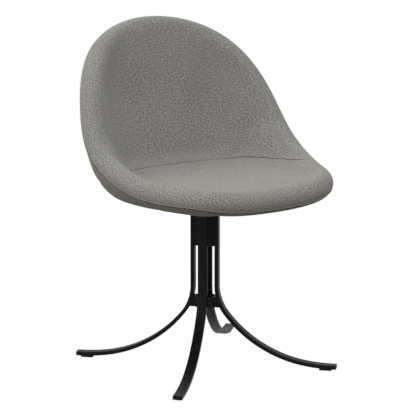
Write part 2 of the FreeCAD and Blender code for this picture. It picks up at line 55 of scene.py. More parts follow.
def makeCamera():
    lens = bpy.data.cameras.new("viewCamera")
    lens.lens = camera["lens"]
    lens.sensor_width = camera["sensor"]
    lens.shift_x = camera["shift"]
    lens.clip_end = 100
    viewer = bpy.data.objects.new("viewCamera", lens)
    away, heading = camera["distance"], camera["heading"]
    viewer.location = (-away * math.sin(heading), -away * math.cos(heading), camera["height"])
    viewer.rotation_euler = (math.pi / 2 - camera["pitch"], 0, -heading)
    scene.collection.objects.link(viewer)
    scene.camera = viewer


makeCamera()


# The seat is one padded sheet. Its middle is a flat floor that turns up into a leaning back and
# two sides. Sections fan out from a line above the sitter's knees, as in the CAD model.
bucket = {
    "rim": [(0, -0.250, 0.429), (0.102, -0.250, 0.429), (0.168, -0.254, 0.450), (0.234, -0.089, 0.440),
            (0.253, 0.064, 0.500), (0.236, 0.114, 0.609), (0.180, 0.196, 0.727), (0.066, 0.240, 0.762),
            (0, 0.240, 0.762)],
    "fanLine": (-0.300, 0.900),      # depth and height
    "floor": 0.429,
    "floorFrom": -0.420,             # depth at which the centre profile starts
    "backStart": 0.122,              # where the floor starts to turn up into the back
    "backFillet": 0.056,
    "backLean": math.radians(76),    # a first guess, which the rim's top corrects
    "backRun": 0.600,                # how far up the back the centre profile goes
    "sideBend": 0.095,               # radius between floor and side wall beside the seat ...
    "wideBend": 0.150,               # ... and beside the back
    "bendChange": (0.3, 0.4),        # where along the rim it starts to widen, and over how much
    "bendShare": 0.8,                # of half the width at most
    "steepest": math.radians(50),
    "leastWall": 0.018,              # straight part of the side wall, up to the rim
    "shallowest": 0.003,             # least depth of a section
    "sectionEnds": (0.14, 0.86),     # the part of the rim that shapes the sections
    "pastEnds": 0.2,                 # the sections go on unchanged over this angle
    "padding": 0.026,                # from the middle of the sheet to each face
    "lining": 0.0047,                # clear of the moulded shell inside
    "middle": math.radians(-57.5),   # the fan angle that the grids spread out from
    "spread": 0.5,                   # metres of cloth for each radian of fan angle
    "evenOut": 45,                   # steps over which the sections are evened out
    "tiltEvenOut": 90,               # and those over which the rim's tilt is
    "rimShare": 0.4,                 # from this share of the way out, the rim's own line takes over
    "probe": (0.001, 0.002),         # small steps along the section and the fan, for slopes
    "loopSteps": 1664,
    "rimSteps": 4001,
    "profileSteps": (200, 60, 120),  # on the floor, the fillet and the back
    "sectionSteps": (400, 800),      # along the rim, and of the table by angle
    "leanRounds": 30,
}


def smooth(share):
    share = np.clip(share, 0, 1)
    return share * share * (3 - 2 * share)


def unit(vectors):
    return vectors / np.maximum(np.linalg.norm(vectors, axis=-1, keepdims=True), 1e-12)


def evened(values, reach, ends="wrap"):
    # a running average over so many steps each way
    window = np.hanning(2 * reach + 3)[1:-1]
    columns = values.reshape(len(values), -1).T
    result = [np.convolve(np.pad(column, reach, ends), window / window.sum(), "valid") for column in columns]
    return np.stack(result, -1).reshape(values.shape)


def rimLine(t):
    # clamped cubic B-spline over the rim's corners, right half, front edge to top
    corners = np.array(bucket["rim"])
    spans = len(corners) - 3
    knots = np.concatenate([[0] * 3, np.linspace(0, 1, spans + 1), [1] * 3])
    t = np.clip(t, 0, 1 - 1e-9)
    basis = [((t >= low) & (t < high)).astype(float) for low, high in zip(knots, knots[1:])]
    for degree in (1, 2, 3):
        raised = []
        for i in range(len(basis) - 1):
            rise = knots[i + degree] - knots[i]
            fall = knots[i + degree + 1] - knots[i + 1]
            part = np.zeros_like(t)
            if rise > 0:
                part = part + (t - knots[i]) / rise * basis[i]
            if fall > 0:
                part = part + (knots[i + degree + 1] - t) / fall * basis[i + 1]
            raised.append(part)
        basis = raised
    return np.stack(basis, -1) @ corners


def fanPlace(points):
    depth = points[..., 1] - bucket["fanLine"][0]
    height = points[..., 2] - bucket["fanLine"][1]
    return np.arctan2(height, depth), np.hypot(height, depth)


def centreProfile():
    # floor, fillet and back on the centre line, as distance from the fan line by angle
    top = bucket["rim"][-1]
    start, fillet, floor = bucket["backStart"], bucket["backFillet"], bucket["floor"]
    lean = bucket["backLean"]
    for _ in range(bucket["leanRounds"]):
        foot = (start + fillet * math.sin(lean), floor + fillet * (1 - math.cos(lean)))
        lean = math.atan2(top[2] - foot[1], top[1] - foot[0])
    floorSteps, filletSteps, backSteps = bucket["profileSteps"]
    flat = np.linspace(bucket["floorFrom"], start, floorSteps)
    turns = np.linspace(0, lean, filletSteps)[1:]
    runs = np.linspace(0, bucket["backRun"], backSteps)[1:]
    depth = np.concatenate([flat, start + fillet * np.sin(turns), foot[0] + runs * math.cos(lean)])
    height = np.concatenate([np.full(len(flat), floor), floor + fillet * (1 - np.cos(turns)),
                             foot[1] + runs * math.sin(lean)])
    return fanPlace(np.stack([depth * 0, depth, height], -1))


def sectionTable():
    # half width of the flat floor, radius of the bend and lean of the side wall, by fan angle
    rimSteps, tableSteps = bucket["sectionSteps"]
    t = np.linspace(*bucket["sectionEnds"], rimSteps)
    rim = rimLine(t)
    angle, radius = fanPlace(rim)
    halfWidth = rim[:, 0]
    changeFrom, changeRun = bucket["bendChange"]
    widening = smooth((t - changeFrom) / changeRun)
    bend = bucket["sideBend"] + (bucket["wideBend"] - bucket["sideBend"]) * widening
    bend = np.minimum(bend, bucket["bendShare"] * halfWidth)
    depth = np.maximum(np.interp(angle, *profile) - radius, bucket["shallowest"])
    least = bucket["leastWall"]
    lean = np.arccos(np.clip((bend - depth) / np.hypot(bend, least), -1, 1)) - np.arctan2(least, bend)
    lean = np.minimum(lean, bucket["steepest"])
    wall = (depth - bend * (1 - np.cos(lean))) / np.sin(lean)
    flat = halfWidth - bend * np.sin(lean) - wall * np.cos(lean)
    steps = np.linspace(angle[0] - bucket["pastEnds"], angle[-1] + bucket["pastEnds"], tableSteps)
    columns = np.stack([np.interp(steps, angle, column) for column in (flat, bend, lean)], -1)
    return (steps, *evened(columns, bucket["evenOut"], "edge").T)


profile = centreProfile()
sections = sectionTable()


def middle(across, angle):
    # a point in the middle of the sheet: across is measured along the section from the centre line
    flat, bend, lean = (np.interp(angle, sections[0], column) for column in sections[1:])
    reach = np.abs(across)
    turn = np.clip((reach - flat) / bend, 0, lean)
    wall = np.maximum(reach - flat - bend * lean, 0)
    x = np.minimum(reach, flat) + bend * np.sin(turn) + wall * np.cos(lean)
    radius = np.interp(angle, *profile) - bend * (1 - np.cos(turn)) - wall * np.sin(lean)
    return np.stack([np.sign(across) * x, bucket["fanLine"][0] + radius * np.cos(angle),
                     bucket["fanLine"][1] + radius * np.sin(angle)], -1)


def middleNormal(across, angle):
    # points towards the sitter
    step, turn = bucket["probe"]
    alongSection = middle(across + step, angle) - middle(across - step, angle)
    alongFan = middle(across, angle + turn) - middle(across, angle - turn)
    return unit(np.cross(alongSection, alongFan))


def acrossAt(x, angle):
    # distance along the section at which it reaches x
    flat, bend, lean = (np.interp(angle, sections[0], column) for column in sections[1:])
    bent = flat + bend * np.sin(lean)
    onBend = flat + bend * np.arcsin(np.clip((x - flat) / bend, 0, np.sin(lean)))
    onWall = flat + bend * lean + (x - bent) / np.cos(lean)
    return np.where(x <= flat, x, np.where(x <= bent, onBend, onWall))


def rimLoop():
    # the whole rim, from the middle of the front edge round the sitter's left to the front again
    half = bucket["loopSteps"] // 2
    t = np.linspace(0, 1, bucket["rimSteps"])
    run = np.concatenate([[0], np.cumsum(np.linalg.norm(np.diff(rimLine(t), axis=0), axis=1))])
    t = np.interp(np.linspace(0, run[-1], half + 1), run, t)
    right = rimLine(t)
    angle, radius = fanPlace(right)
    across = acrossAt(right[:, 0], angle)
    back = slice(half - 1, 0, -1)
    mirror = np.array([-1, 1, 1])
    loop = {
        "rim": np.concatenate([right, right[back] * mirror]),
        "angle": np.concatenate([angle, angle[back]]),
        "across": np.concatenate([across, -across[back]]),
    }
    loop["tangent"] = unit(np.roll(loop["rim"], -1, 0) - np.roll(loop["rim"], 1, 0))
    loop["gap"] = loop["rim"] - middle(loop["across"], loop["angle"])
    loop["plain"] = middleNormal(loop["across"], loop["angle"])
    even = evened(loop["plain"], bucket["tiltEvenOut"])
    along = (even * loop["tangent"]).sum(-1, keepdims=True)
    loop["normal"] = unit(even - along * loop["tangent"])
    loop["outward"] = np.cross(loop["tangent"], loop["normal"])
    loop["reach"] = np.hypot(loop["across"], (loop["angle"] - bucket["middle"]) * bucket["spread"])
    return loop


loop = rimLoop()
loopPlaces = np.arange(bucket["loopSteps"] + 1) / bucket["loopSteps"]


def around(values, place):
    # reads a value of the rim loop at a place from 0 to 1
    values = np.concatenate([values, values[:1]])
    if values.ndim == 1:
        return np.interp(place % 1.0, loopPlaces, values)
    return np.stack([np.interp(place % 1.0, loopPlaces, column) for column in values.T], -1)


def skin(place, distance, face, thickness):
    # a point on a face of the padded sheet. distance runs from the middle of the seat out to the
    # rim, and past it round the roll. face is 1 on the sitter's side and -1 on the outside.
    reach = around(loop["reach"], place)
    share = np.minimum(distance / reach, 1)
    nearRim = smooth((share - bucket["rimShare"]) / (1 - bucket["rimShare"]))[..., None]
    across = around(loop["across"], place) * share
    angle = bucket["middle"] + (around(loop["angle"], place) - bucket["middle"]) * share
    point = middle(across, angle) + around(loop["gap"], place) * nearRim
    turned = around(loop["normal"], place) - around(loop["plain"], place)
    normal = unit(middleNormal(across, angle) + turned * nearRim)
    turn = (np.maximum(distance - reach, 0) / bucket["padding"])[..., None]
    outward = unit(around(loop["outward"], place))
    return point + np.asarray(thickness)[..., None] * (np.cos(turn) * face * normal + np.sin(turn) * outward)


def layout(place, distance):
    # flat cloth coordinates of the same point, in metres
    share = distance / around(loop["reach"], place)
    return np.stack([around(loop["across"], place) * share,
                     (around(loop["angle"], place) - bucket["middle"]) * bucket["spread"] * share], -1)


panels = {
    # the outer seam, as degrees round the roll from the sitter's side, by place from the front middle
    "seamTurn": [(0, 130), (0.05, 133), (0.08, 141), (0.11, 149), (0.5, 149)],
    # the sewn crease in plan, half width and depth, and its ends over the roll, depth and way past
    # the rim
    "crease": [(0, 0.122), (0.040, 0.122), (0.080, 0.120), (0.100, 0.116), (0.122, 0.107), (0.140, 0.093),
               (0.157, 0.076), (0.173, 0.051), (0.185, 0.026), (0.193, -0.002), (0.202, -0.035)],
    "wing": [(-0.125, 0.0700), (-0.100, 0.030), (-0.070, 0.000), (-0.031, -0.0296)],
    # depth and share of the full groove, on the sitter's left and right
    "fadeLeft": [(-0.125, 0.0), (-0.100, 0.25), (-0.060, 0.5), (0.000, 0.8), (0.060, 1.0)],
    "fadeRight": [(-0.055, 0.0), (-0.020, 0.4), (0.030, 0.85), (0.085, 1.0)],
    "join": 0.0002,                  # half the gap between two sewn edges
    "creaseRound": 0.0034,
    "seamRound": 0.0026,
    "roundChange": 0.006,            # way over which one round turns into the other
    "openingHalf": 0.101,
    "openingRound": 0.006,
    "openingSquareness": 10,
    "edgeRows": [0, 0.0003, 0.0008, 0.0015, 0.0024, 0.0036, 0.0054],
    "seamEvenOut": 24,
    "creaseEvenOut": 16,
    "creaseSteps": 160,
    "openingSteps": 240,
    # painted shade in the sewn folds, darkest deep in the curl of each sewn edge
    "foldShade": (0.05, 0.2, 0.002),  # share of the curl where it starts, its run, and the full radius
}
fromFront = np.minimum(loopPlaces[:-1], 1 - loopPlaces[:-1])
seamTurn = evened(np.interp(fromFront, *np.array(panels["seamTurn"]).T), panels["seamEvenOut"])
seamRun = bucket["padding"] * np.radians(seamTurn)
hemRun = bucket["padding"] * math.pi - seamRun


def firstAbove(values, level, shares):
    # for each row, the share at which the values first rise above the level
    above = values > level
    index = np.maximum(np.where(above.any(1), above.argmax(1), len(shares) - 1), 1)
    rows = np.arange(len(values))
    before, after = values[rows, index - 1], values[rows, index]
    part = np.clip((level - before) / np.maximum(after - before, 1e-9), 0, 1)
    return shares[index - 1] + part * (shares[index] - shares[index - 1])


def spokes(steps):
    # points on the sitter's face along lines from the middle of the seat to each place on the rim
    shares = np.linspace(0, 1, steps)
    place = np.broadcast_to(loopPlaces[:-1, None], (bucket["loopSteps"], steps))
    distance = loop["reach"][:, None] * shares
    return shares, skin(place, distance, 1, np.full(place.shape, bucket["padding"]))


def creaseRun():
    # distance of the sewn crease from the middle of the seat, all round the rim
    shares, points = spokes(panels["creaseSteps"])
    x, y = np.abs(points[..., 0]), points[..., 1]
    line = np.array(panels["crease"])
    bearing = np.arctan2(x, y)
    radius = np.interp(bearing, np.arctan2(line[:, 0], line[:, 1]), np.hypot(line[:, 0], line[:, 1]))
    found = firstAbove(np.hypot(x, y) - radius, 0, shares) * loop["reach"]
    depth, past = np.array(panels["wing"]).T
    ends = points[:, -1, 1]
    last = len(shares) - 1
    meets = points[np.arange(len(points)), np.clip((found / loop["reach"] * last).astype(int), 0, last), 1]
    onWing = loop["reach"] + np.interp(meets, depth, past)
    run = np.where((meets < depth[-1]) | (ends < depth[-1]), onWing, found)
    return np.minimum(evened(run, panels["creaseEvenOut"]), loop["reach"] + seamRun), meets


def creaseShare(depth):
    # how much of its full groove the crease has, all round the rim
    left, right = (np.interp(depth, *np.array(panels[side]).T) for side in ("fadeLeft", "fadeRight"))
    return evened(np.where(loopPlaces[:-1] < 0.5, left, right), panels["creaseEvenOut"])


crease, creaseDepth = creaseRun()
creaseStrength = creaseShare(creaseDepth)


def openingRun():
    # distance to the edge of the square opening for the seat plate
    shares, points = spokes(panels["openingSteps"])
    power = panels["openingSquareness"]
    x, y = (np.abs(points[..., axis]) / panels["openingHalf"] for axis in (0, 1))
    return firstAbove((x ** power + y ** power) ** (1 / power), 1, shares) * loop["reach"]


opening = openingRun()


def edgeCurl(distance, radius):
    # how far a sewn edge turns in, by distance from it
    inside = np.clip(1 - distance / np.maximum(radius, 1e-6), 0, 1)
    return radius * (1 - np.sqrt(1 - inside ** 2))


def endCurl(place):
    # the curl radius where the seat panel ends: at the outer seam in front, at the crease behind
    atSeam = smooth(1 - around(loop["reach"] + seamRun - crease, place) / panels["roundChange"])
    return panels["seamRound"] * atSeam + panels["creaseRound"] * around(creaseStrength, place)


def rowsBetween(low, high, count):
    # distances from low to high, closer together at the sewn edges
    edge = np.array(panels["edgeRows"])
    room = np.clip((high - low) / (3 * edge[-1]), 0, 1)
    first, last = low + edge[-1] * room, high - edge[-1] * room
    rows = [low + step * room for step in edge[:-1]]
    rows += [first + (last - first) * share for share in np.linspace(0, 1, count)]
    rows += [high - step * room for step in edge[-2::-1]]
    return np.stack(rows)


cloth = {
    "pressure": 1.5,                 # how hard the foam pushes the cloth out
    "spare": 0.006,                  # extra cloth, as a share
    "mass": 0.2,
    "bending": 0.8,
    "quality": 4,
    "frames": 12,
    "mostMove": 0.0020,
    "heldEdge": 0.004,               # cloth this near a sewn edge stays where it is
    "freeAfter": 0.050,              # and is fully loose after so much more
}


def gridFaces(outer, inner, wrap):
    # the points of a grid and its faces, turned away from the inner grid
    rows, columns = outer.shape[:2]
    index = np.arange(rows * columns).reshape(rows, columns)
    if wrap:
        index = np.concatenate([index, index[:, :1]], 1)
    quads = np.stack([index[:-1, :-1], index[:-1, 1:], index[1:, 1:], index[1:, :-1]], -1).reshape(-1, 4)
    points = outer.reshape(-1, 3)
    corner = points[quads[:, :3]]
    direction = np.cross(corner[:, 1] - corner[:, 0], corner[:, 2] - corner[:, 1])
    if (direction * (points - inner.reshape(-1, 3))[quads[:, 0]]).sum() < 0:
        quads = quads[:, ::-1]
    return points, quads


def settled(outer, inner, wrap, loose):
    # lets the foam push the cloth out with a cloth simulation. loose is 0 at the sewn edges, which
    # are held, and 1 on the open cloth.
    points, quads = gridFaces(outer, inner, wrap)
    mesh = bpy.data.meshes.new("clothSheet")
    mesh.from_pydata(points.tolist(), [], quads.tolist())
    sheet = bpy.data.objects.new("clothSheet", mesh)
    scene.collection.objects.link(sheet)
    group = sheet.vertex_groups.new(name="held")
    for tenth in range(11):
        chosen = np.flatnonzero(np.rint(loose.ravel() * 10) == tenth)
        group.add(chosen.tolist(), 1 - tenth / 10, "REPLACE")
    modifier = sheet.modifiers.new("cloth", "CLOTH")
    settings = modifier.settings
    settings.quality = cloth["quality"]
    settings.mass = cloth["mass"]
    settings.effector_weights.gravity = 0
    settings.use_pressure = True
    settings.uniform_pressure_force = cloth["pressure"]
    settings.vertex_group_mass = "held"
    settings.shrink_min = -cloth["spare"]
    settings.bending_stiffness = cloth["bending"]
    modifier.collision_settings.use_collision = False
    modifier.point_cache.frame_end = cloth["frames"]
    for number in range(1, cloth["frames"] + 1):
        scene.frame_set(number)
    graph = bpy.context.evaluated_depsgraph_get()
    moved = np.zeros(len(points) * 3)
    sheet.evaluated_get(graph).data.vertices.foreach_get("co", moved)
    scene.frame_set(1)
    bpy.data.objects.remove(sheet)
    bpy.data.meshes.remove(mesh)
    move = (moved.reshape(outer.shape) - outer) * loose[..., None]
    length = np.linalg.norm(move, axis=-1, keepdims=True)
    mean, most = (round(float(value) * 1000, 2) for value in (length.mean(), length.max()))
    print("cloth moved", mean, "mm, at most", most)
    limit = cloth["mostMove"]
    return outer + move * limit * np.tanh(length / limit) / np.maximum(length, 1e-9)


def foldShade(curl, radius):
    # painted shade for the cloth's colour: 1 deep in a sewn fold, 0 on the open cloth
    start, run, fullRadius = panels["foldShade"]
    depth = curl / np.maximum(radius, 1e-6)
    return smooth((depth - start) / run) * np.clip(radius / fullRadius, 0, 1)


def solidPiece(name, outer, inner, flat, fold, wrap):
    # a closed piece from two grids of points, with walls round the open edges
    points, quads = gridFaces(outer, inner, wrap)
    count = len(points)
    edges = np.concatenate([quads[:, [0, 1]], quads[:, [1, 2]], quads[:, [2, 3]], quads[:, [3, 0]]])
    keys = edges.min(1) * np.int64(count) + edges.max(1)
    first, times = np.unique(keys, return_index=True, return_counts=True)[1:]
    rim = edges[first[times == 1]]
    walls = np.stack([rim[:, 1], rim[:, 0], rim[:, 0] + count, rim[:, 1] + count], -1)
    faces = np.concatenate([quads, quads[:, ::-1] + count, walls])
    mesh = bpy.data.meshes.new(name)
    mesh.from_pydata(np.concatenate([points, inner.reshape(-1, 3)]).tolist(), [], faces.tolist())
    mesh.polygons.foreach_set("use_smooth", np.ones(len(faces), bool))
    laidOut = np.concatenate([flat.reshape(-1, 2)] * 2)
    layer = mesh.uv_layers.new(name="clothLayout")
    corners = np.zeros(len(mesh.loops), np.int32)
    mesh.loops.foreach_get("vertex_index", corners)
    layer.data.foreach_set("uv", laidOut[corners].astype(np.float32).ravel())
    # painted shade of the folds, for the cloth's colour; the lining side is painted as fully shaded
    shades = mesh.attributes.new("foldShade", "FLOAT", "POINT")
    shades.data.foreach_set("value", np.concatenate([fold.ravel(), np.ones(count)]).astype(np.float32))
    mesh.update()
    piece = bpy.data.objects.new(name, mesh)
    scene.collection.objects.link(piece)
    print(name, len(faces), "faces")
    return piece


def makePad(name, place, distance, face, thickness, fold, fromEdge, wrap=False):
    # a pad from its cloth down to the lining. fromEdge is the distance to the nearest sewn edge, and fold
    # the painted shade along its sewn folds.
    outer = skin(place, distance, face, thickness)
    lining = skin(place, distance, face, np.full(place.shape, bucket["lining"]))
    loose = smooth((fromEdge - cloth["heldEdge"]) / cloth["freeAfter"])
    outer = settled(outer, lining, wrap, loose)
    return solidPiece(name, outer, lining, layout(place, distance), fold, wrap)


seatPanel = {
    "rings": 60,
    "crown": 0.001,                  # how much fuller its middle is
    "crownRun": 0.08,
}


def makeSeatPanel():
    # concentric squares of the grid are stretched to the outline, so there is no pole
    rings = seatPanel["rings"] + len(panels["edgeRows"]) - 1
    i, j = np.meshgrid(np.arange(-rings, rings + 1), np.arange(-rings, rings + 1))
    ring = np.maximum(np.maximum(np.abs(i), np.abs(j)), 1e-9)
    walk = np.where(j == -ring, np.where(i >= 0, i, 8 * ring + i), 0.0)
    walk = np.where(j == ring, 4 * ring - i, walk)
    walk = np.where((i == ring) & (np.abs(j) < ring), 2 * ring + j, walk)
    walk = np.where((i == -ring) & (np.abs(j) < ring), 6 * ring - j, walk)
    place = np.where(ring < 0.5, 0.0, walk / (8 * ring))
    end = around(crease, place) - panels["join"]
    edge = np.array(panels["edgeRows"][::-1])
    ringNumber = np.rint(ring).astype(int)
    inner = np.clip(ringNumber / seatPanel["rings"], 0, 1)
    nearEdge = np.interp(ringNumber, np.arange(seatPanel["rings"], rings + 1), edge)
    distance = np.where(ringNumber <= seatPanel["rings"], (end - edge[0]) * inner, end - nearEdge)
    fromEdge = end - distance
    radius = endCurl(place)
    curl = edgeCurl(fromEdge, radius)
    thickness = bucket["padding"] - curl + seatPanel["crown"] * smooth(fromEdge / seatPanel["crownRun"])
    # painted shade darkens the cloth where its edge curls into the fold
    return makePad("seat_pad", place, distance, 1, thickness, foldShade(curl, radius), fromEdge)


backPanel = {
    "rows": 64,
    "columns": 340,
    "leastWidth": 0.0022,            # it ends where the seam and the crease are this close
    "fullWidth": 0.02,               # narrower than this, the seam's round shrinks in proportion
    "leastRound": 0.1,
}


def makeBackPanel():
    width = loop["reach"] + seamRun - crease
    places = loopPlaces[:-1][width > backPanel["leastWidth"]]
    place = np.linspace(places.min(), places.max(), backPanel["columns"])
    low = around(crease, place) + panels["join"]
    high = around(loop["reach"] + seamRun, place) - panels["join"]
    distance = rowsBetween(low, high, backPanel["rows"])
    place = np.broadcast_to(place, distance.shape)
    lowRadius = endCurl(place)
    room = np.clip((high - low) / backPanel["fullWidth"], backPanel["leastRound"], 1)
    highRadius = panels["seamRound"] * room
    lowCurl = edgeCurl(distance - low, lowRadius)
    highCurl = edgeCurl(high - distance, highRadius)
    # painted shade where the cloth curls into the crease and into the outer seam
    fold = np.maximum(foldShade(lowCurl, lowRadius), foldShade(highCurl, highRadius))
    thickness = bucket["padding"] - np.maximum(lowCurl, highCurl)
    fromEdge = np.minimum(distance - low, high - distance)
    return makePad("back_pad", place, distance, 1, thickness, fold, fromEdge)


rearCover = {
    "rows": 56,
    "columns": 480,
    "belly": 0.010,                  # how much fuller the cover is outside the side walls
    "bellyRise": (0.40, 0.35),       # share of the way to the rim where it starts, and its run
    "bellyFall": (1.02, 0.30),       # where it has gone again, and its run
    "bellyPlaces": (0.15, 0.23, 0.30, 0.38),  # round the rim: starts, full, full, gone
}


def makeRearCover():
    place = np.arange(rearCover["columns"]) / rearCover["columns"]
    low = around(opening, place)
    high = around(loop["reach"] + hemRun, place) - panels["join"]
    distance = rowsBetween(low, high, rearCover["rows"])
    place = np.broadcast_to(place, distance.shape)
    highCurl = edgeCurl(high - distance, panels["seamRound"])
    curl = np.maximum(edgeCurl(distance - low, panels["openingRound"]), highCurl)
    share = distance / around(loop["reach"], place)
    (rise, riseRun), (fall, fallRun) = rearCover["bellyRise"], rearCover["bellyFall"]
    belly = smooth((share - rise) / riseRun) * smooth((fall - share) / fallRun)
    belly = belly * np.interp(np.minimum(place, 1 - place), rearCover["bellyPlaces"], [0, 1, 1, 0])
    thickness = bucket["padding"] + rearCover["belly"] * belly - curl
    # painted shadow where the cloth curls in under the outer seam
    fold = foldShade(highCurl, panels["seamRound"])
    fromEdge = np.minimum(distance - low, high - distance)
    return makePad("rear_pad", place, distance, -1, thickness, fold, fromEdge, wrap=True)


seatPad = makeSeatPanel()
backPad = makeBackPanel()
rearPad = makeRearCover()


stitches = {
    "fromSeam": 0.0026,              # towards the sitter, along the cloth
    "length": 0.0046,
    "gap": 0.0010,
    "threadRadius": 0.00085,
    "sway": 0.07,                    # radians each stitch may lie off the line
    "seed": 7,
    "linePoints": 900,
    "beadSegments": 8,
    "beadRings": 6,
}


def stitchTree(material):
    # a small bead of thread at every stitch along the seam line
    tree = bpy.data.node_groups.new("stitchRow", "GeometryNodeTree")
    face = tree.interface
    face.new_socket("Geometry", in_out="INPUT", socket_type="NodeSocketGeometry")
    for label in ("Stitch Length", "Stitch Gap", "Thread Radius"):
        face.new_socket(label, in_out="INPUT", socket_type="NodeSocketFloat")
    face.new_socket("Geometry", in_out="OUTPUT", socket_type="NodeSocketGeometry")
    new, link = tree.nodes.new, tree.links.new
    given = new("NodeGroupInput")
    length, radius = given.outputs["Stitch Length"], given.outputs["Thread Radius"]
    resample = new("GeometryNodeResampleCurve")
    resample.mode = "LENGTH"
    link(given.outputs["Geometry"], resample.inputs["Curve"])
    link(mathNode(tree, "ADD", length, given.outputs["Stitch Gap"]), resample.inputs["Length"])
    align = new("FunctionNodeAlignRotationToVector")
    align.axis = "Z"
    link(new("GeometryNodeInputTangent").outputs["Tangent"], align.inputs["Vector"])
    sway = new("FunctionNodeRandomValue")
    sway.data_type = "FLOAT_VECTOR"
    sway.inputs["Min"].default_value = (-stitches["sway"], -stitches["sway"], 0)
    sway.inputs["Max"].default_value = (stitches["sway"], stitches["sway"], 0)
    sway.inputs["Seed"].default_value = stitches["seed"]
    turn = new("FunctionNodeRotateRotation")
    turn.rotation_space = "LOCAL"
    link(align.outputs["Rotation"], turn.inputs["Rotation"])
    link(sway.outputs["Value"], turn.inputs["Rotate By"])
    bead = new("GeometryNodeMeshUVSphere")
    bead.inputs["Segments"].default_value = stitches["beadSegments"]
    bead.inputs["Rings"].default_value = stitches["beadRings"]
    link(radius, bead.inputs["Radius"])
    scale = new("ShaderNodeCombineXYZ")
    scale.inputs["X"].default_value = 1
    scale.inputs["Y"].default_value = 1
    link(mathNode(tree, "MULTIPLY", mathNode(tree, "DIVIDE", length, radius), 0.5), scale.inputs["Z"])
    beads = new("GeometryNodeInstanceOnPoints")
    link(resample.outputs["Curve"], beads.inputs["Points"])
    link(bead.outputs["Mesh"], beads.inputs["Instance"])
    link(turn.outputs["Rotation"], beads.inputs["Rotation"])
    link(scale.outputs["Vector"], beads.inputs["Scale"])
    real = new("GeometryNodeRealizeInstances")
    link(beads.outputs["Instances"], real.inputs["Geometry"])
    rounded = new("GeometryNodeSetShadeSmooth")
    link(real.outputs["Geometry"], rounded.inputs["Geometry"])
    dress = new("GeometryNodeSetMaterial")
    dress.inputs["Material"].default_value = material
    link(rounded.outputs["Geometry"], dress.inputs["Geometry"])
    result = new("NodeGroupOutput")
    link(dress.outputs["Geometry"], result.inputs["Geometry"])
    return tree


def makeStitches(material):
    place = np.arange(stitches["linePoints"]) / stitches["linePoints"]
    distance = around(loop["reach"] + seamRun, place) - stitches["fromSeam"]
    points = skin(place, distance, 1, np.full(place.shape, bucket["padding"]))
    line = bpy.data.curves.new("seamLine", "CURVE")
    line.dimensions = "3D"
    spline = line.splines.new("POLY")
    spline.points.add(len(points) - 1)
    spline.points.foreach_set("co", np.concatenate([points, np.ones((len(points), 1))], 1).ravel())
    spline.use_cyclic_u = True
    path = bpy.data.objects.new("seamLine", line)
    scene.collection.objects.link(path)
    tree = stitchTree(material)
    modifier = path.modifiers.new("stitches", "NODES")
    modifier.node_group = tree
    inputs = {"Stitch Length": "length", "Stitch Gap": "gap", "Thread Radius": "threadRadius"}
    for label, key in inputs.items():
        socket = next(item for item in tree.interface.items_tree if item.name == label)
        modifier[socket.identifier] = stitches[key]
    bpy.context.view_layer.update()
    graph = bpy.context.evaluated_depsgraph_get()
    mesh = bpy.data.meshes.new_from_object(path.evaluated_get(graph))
    bpy.data.objects.remove(path)
    piece = bpy.data.objects.new("seam_stitches", mesh)
    scene.collection.objects.link(piece)
    print("seam_stitches", len(mesh.polygons), "faces")
    return piece


def newMaterial(name):
    material = bpy.data.materials.new(name)
    material.use_nodes = True
    tree = material.node_tree
    return material, tree, tree.nodes["Principled BSDF"]


def newGroup(name, inputs, outputs):
    tree = bpy.data.node_groups.new(name, "ShaderNodeTree")
    for label, kind, value in inputs:
        socket = tree.interface.new_socket(label, in_out="INPUT", socket_type=kind)
        socket.default_value = value
    for label, kind in outputs:
        tree.interface.new_socket(label, in_out="OUTPUT", socket_type=kind)
    return tree, tree.nodes.new("NodeGroupInput"), tree.nodes.new("NodeGroupOutput")


def mathNode(tree, operation, first, second):
    node = tree.nodes.new("ShaderNodeMath")
    node.operation = operation
    for number, value in enumerate((first, second)):
        if isinstance(value, (int, float)):
            node.inputs[number].default_value = value
        else:
            tree.links.new(value, node.inputs[number])
    return node.outputs[0]


def noiseNode(tree, vector, scale, detail, roughness=0.5):
    node = tree.nodes.new("ShaderNodeTexNoise")
    node.inputs["Detail"].default_value = detail
    node.inputs["Roughness"].default_value = roughness
    if isinstance(scale, (int, float)):
        node.inputs["Scale"].default_value = scale
    else:
        tree.links.new(scale, node.inputs["Scale"])
    tree.links.new(vector, node.inputs["Vector"])
    return node.outputs["Fac"]


def mixNode(tree, factor, first, second):
    # a blend of two colours
    node = tree.nodes.new("ShaderNodeMix")
    node.data_type = "RGBA"
    node.clamp_factor = True
    for label, value in (("Factor", factor), ("A", first), ("B", second)):
        if isinstance(value, tuple):
            node.inputs[label].default_value = value
        else:
            tree.links.new(value, node.inputs[label])
    return node.outputs["Result"]


melange = {
    "stretch": (0.5, 1.0, 1.0),      # flecks are twice as long along the yarn
    "fineScale": 2.6,                # of the fleck's own scale
    "brownScale": 1.3,
    "broadScale": 9.0,               # per metre
    "noise": (2.0, 0.7),             # detail and roughness
    "brownDetail": 1.0,
    "fleckShares": (0.6, 0.4),       # flecks and fine flecks
    "fleckGain": 3.6,
    "driftShare": 0.22,
    "weaveShare": 0.16,
    "brownFrom": 0.47,
    "brownGain": 2.4,
    # painted shade in the sewn folds: its colour, and how much of the yarn colour it covers at most
    "foldShadeColour": (0.012, 0.011, 0.010, 1),
    "foldShadeStrength": 0.9,
    "relief": 0.6,
    "roughness": (0.75, 0.2),        # least, and what the flecks add
}


